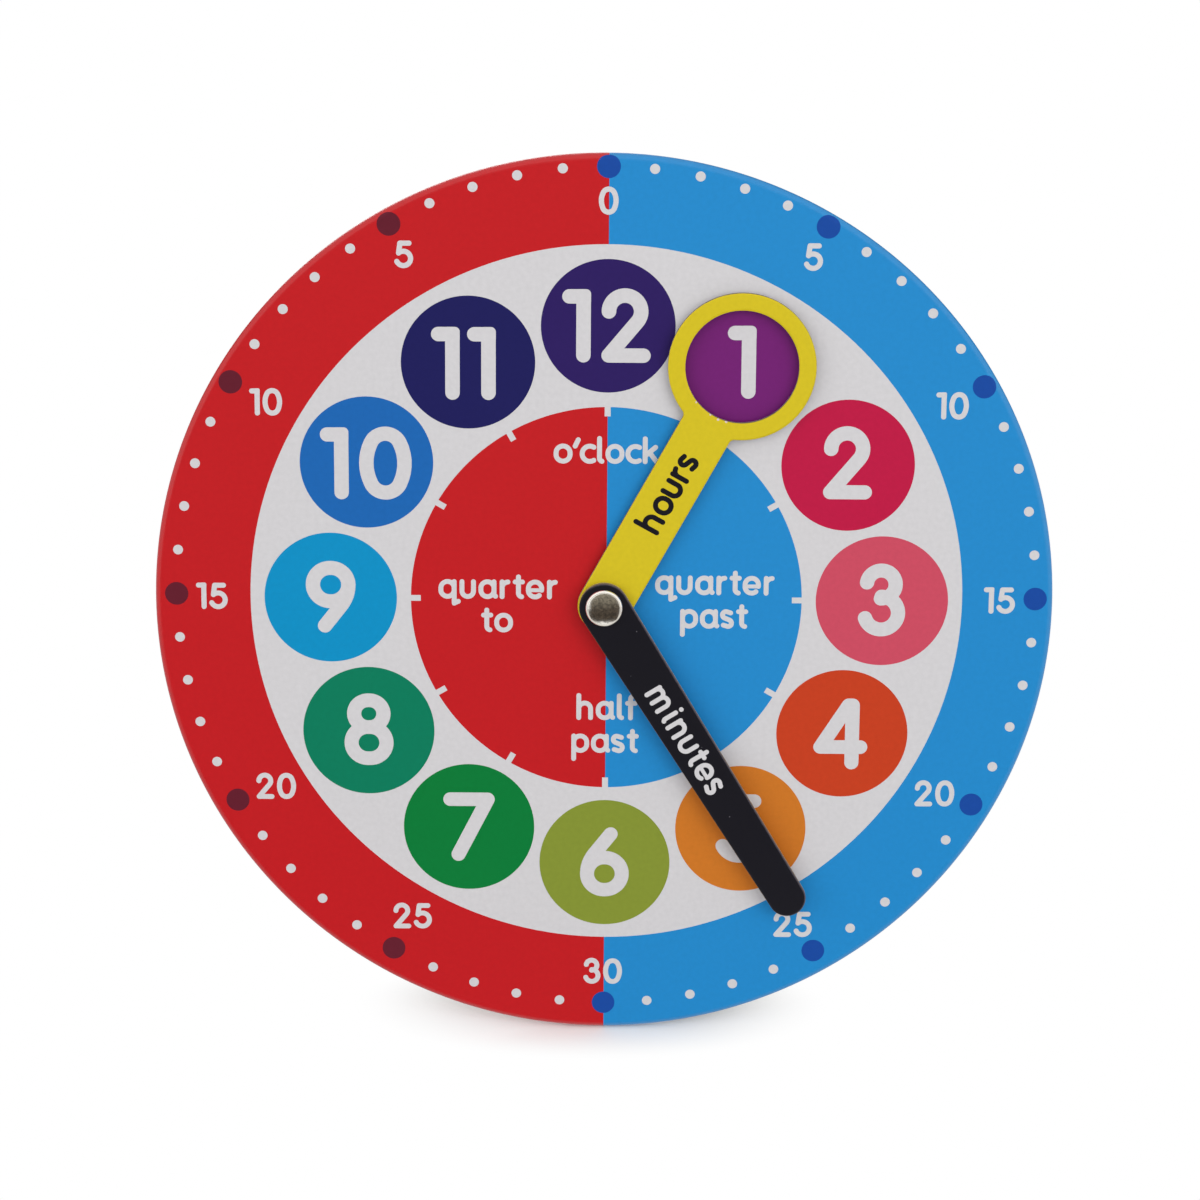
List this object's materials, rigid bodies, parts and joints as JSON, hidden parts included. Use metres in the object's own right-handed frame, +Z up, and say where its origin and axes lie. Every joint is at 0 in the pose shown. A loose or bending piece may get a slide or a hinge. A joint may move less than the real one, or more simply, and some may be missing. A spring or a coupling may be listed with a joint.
{
  "type": "teaching clock",
  "caption": "Round board demonstration clock: coloured dial, ringed hour hand and tapered minute hand on a cap rivet, with a hinged easel strut behind.",
  "frame": {"origin": "on the surface the clock stands on, under the middle of its overall box", "axes": "+Z up, +X to the right of someone facing the dial, -Y towards that person; the dial faces -Y and leans back"},
  "size_m": [0.3, 0.0926, 0.2902],
  "materials": {
    "greyboard": "raw solid greyboard",
    "dial_print": "coated paper, printed and satin laminated",
    "back_liner": "uncoated white liner paper",
    "yellow_print": "coated paper, printed yellow, satin laminated",
    "black_print": "coated paper, printed black, satin laminated",
    "black_cover": "matt black cover paper",
    "nickel": "bright nickel plate on steel",
    "zinc_steel": "bright zinc plated steel",
    "brass": "plain brass",
    "nylon": "natural nylon"
  },
  "bodies": {
    "dial": {"dial_board": "greyboard", "dial_print_sheet": "dial_print", "dial_liner": "back_liner", "dial_eyelet": "brass", "dial_washer": "nylon", "hand_washer": "nylon", "rivet_front_cap": "nickel", "rivet_stem": "nickel", "rivet_post": "nickel", "rivet_rear_cap": "nickel", "rear_washer": "zinc_steel", "spring_washer": "zinc_steel", "easel_card": "greyboard", "easel_card_cover": "black_cover", "fixed_hinge_leaf": "zinc_steel", "card_rivets": "nickel", "hinge_pin": "zinc_steel"},
    "hour_hand": {"hour_hand_board": "greyboard", "hour_hand_print": "yellow_print", "hour_hand_backing": "yellow_print"},
    "minute_hand": {"minute_hand_board": "greyboard", "minute_hand_print": "black_print", "minute_hand_backing": "black_print"},
    "strut": {"strut_board": "greyboard", "strut_cover": "black_cover", "strut_hinge_leaf": "zinc_steel", "strut_rivets": "nickel"}
  },
  "joints": [
    {"name": "hour_hand_turn", "type": "hinge", "parent": "dial", "child": "hour_hand", "pos_m": [0, -0.00805, 0.14577], "axis": [0, -0.966, 0.2586], "continuous": true},
    {"name": "minute_hand_turn", "type": "hinge", "parent": "dial", "child": "minute_hand", "pos_m": [0, -0.00805, 0.14577], "axis": [0, -0.966, 0.2586], "continuous": true},
    {"name": "strut_fold", "type": "hinge", "parent": "dial", "child": "strut", "pos_m": [0, 0.0152, 0.20166], "axis": [1, 0, 0], "range_deg": [-22.5, 0]}
  ]
}
